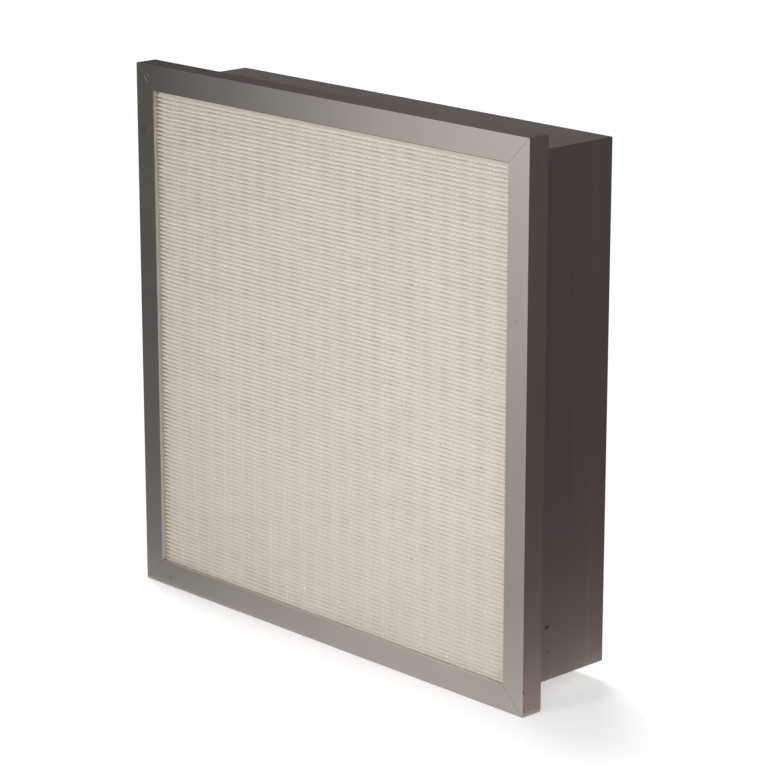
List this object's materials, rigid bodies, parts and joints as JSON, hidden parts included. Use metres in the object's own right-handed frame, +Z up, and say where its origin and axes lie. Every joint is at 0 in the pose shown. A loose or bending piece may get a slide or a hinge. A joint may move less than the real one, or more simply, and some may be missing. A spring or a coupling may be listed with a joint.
{
  "type": "rigid air filter",
  "caption": "Rigid air filter: a deep pleated media pack with hot-melt separator beads, potted in a mitred aluminium frame with a wider header at the front.",
  "frame": {"origin": "middle of the bottom of the whole object: under the header's lower edge, halfway across its width and halfway through its depth", "axes": "+X along the face to the right, +Y from the front face to the back, the way the air goes, +Z up"},
  "size_m": [0.592, 0.14, 0.592],
  "materials": {
    "frame_metal": "satin mill finish with fine lines along the extrusion",
    "key_metal": "die-cast, dull",
    "sealant": "cured bead, slightly glossy",
    "filter_media": "matt felted fibre sheet",
    "potting": "cast polyurethane, slightly glossy",
    "hot_melt": "cooled hot-melt adhesive, slightly glossy"
  },
  "bodies": {
    "root": {"bottom_rail": "frame_metal", "top_rail": "frame_metal", "left_rail": "frame_metal", "right_rail": "frame_metal", "bottom_left_key": "key_metal", "top_left_key": "key_metal", "top_right_key": "key_metal", "bottom_right_key": "key_metal", "mitre_sealant": "sealant", "pleated_media": "filter_media", "bottom_potting": "potting", "top_potting": "potting", "left_potting": "potting", "right_potting": "potting", "front_bead_01": "hot_melt", "front_bead_02": "hot_melt", "front_bead_03": "hot_melt", "front_bead_04": "hot_melt", "front_bead_05": "hot_melt", "front_bead_06": "hot_melt", "front_bead_07": "hot_melt", "front_bead_08": "hot_melt", "front_bead_09": "hot_melt", "front_bead_10": "hot_melt", "front_bead_11": "hot_melt", "front_bead_12": "hot_melt", "front_bead_13": "hot_melt", "front_bead_14": "hot_melt", "front_bead_15": "hot_melt", "front_bead_16": "hot_melt", "front_bead_17": "hot_melt", "front_bead_18": "hot_melt", "front_bead_19": "hot_melt", "front_bead_20": "hot_melt", "rear_bead_01": "hot_melt", "rear_bead_02": "hot_melt", "rear_bead_03": "hot_melt", "rear_bead_04": "hot_melt", "rear_bead_05": "hot_melt", "rear_bead_06": "hot_melt", "rear_bead_07": "hot_melt", "rear_bead_08": "hot_melt", "rear_bead_09": "hot_melt", "rear_bead_10": "hot_melt", "rear_bead_11": "hot_melt", "rear_bead_12": "hot_melt", "rear_bead_13": "hot_melt", "rear_bead_14": "hot_melt", "rear_bead_15": "hot_melt", "rear_bead_16": "hot_melt", "rear_bead_17": "hot_melt", "rear_bead_18": "hot_melt", "rear_bead_19": "hot_melt", "rear_bead_20": "hot_melt"}
  },
  "joints": []
}
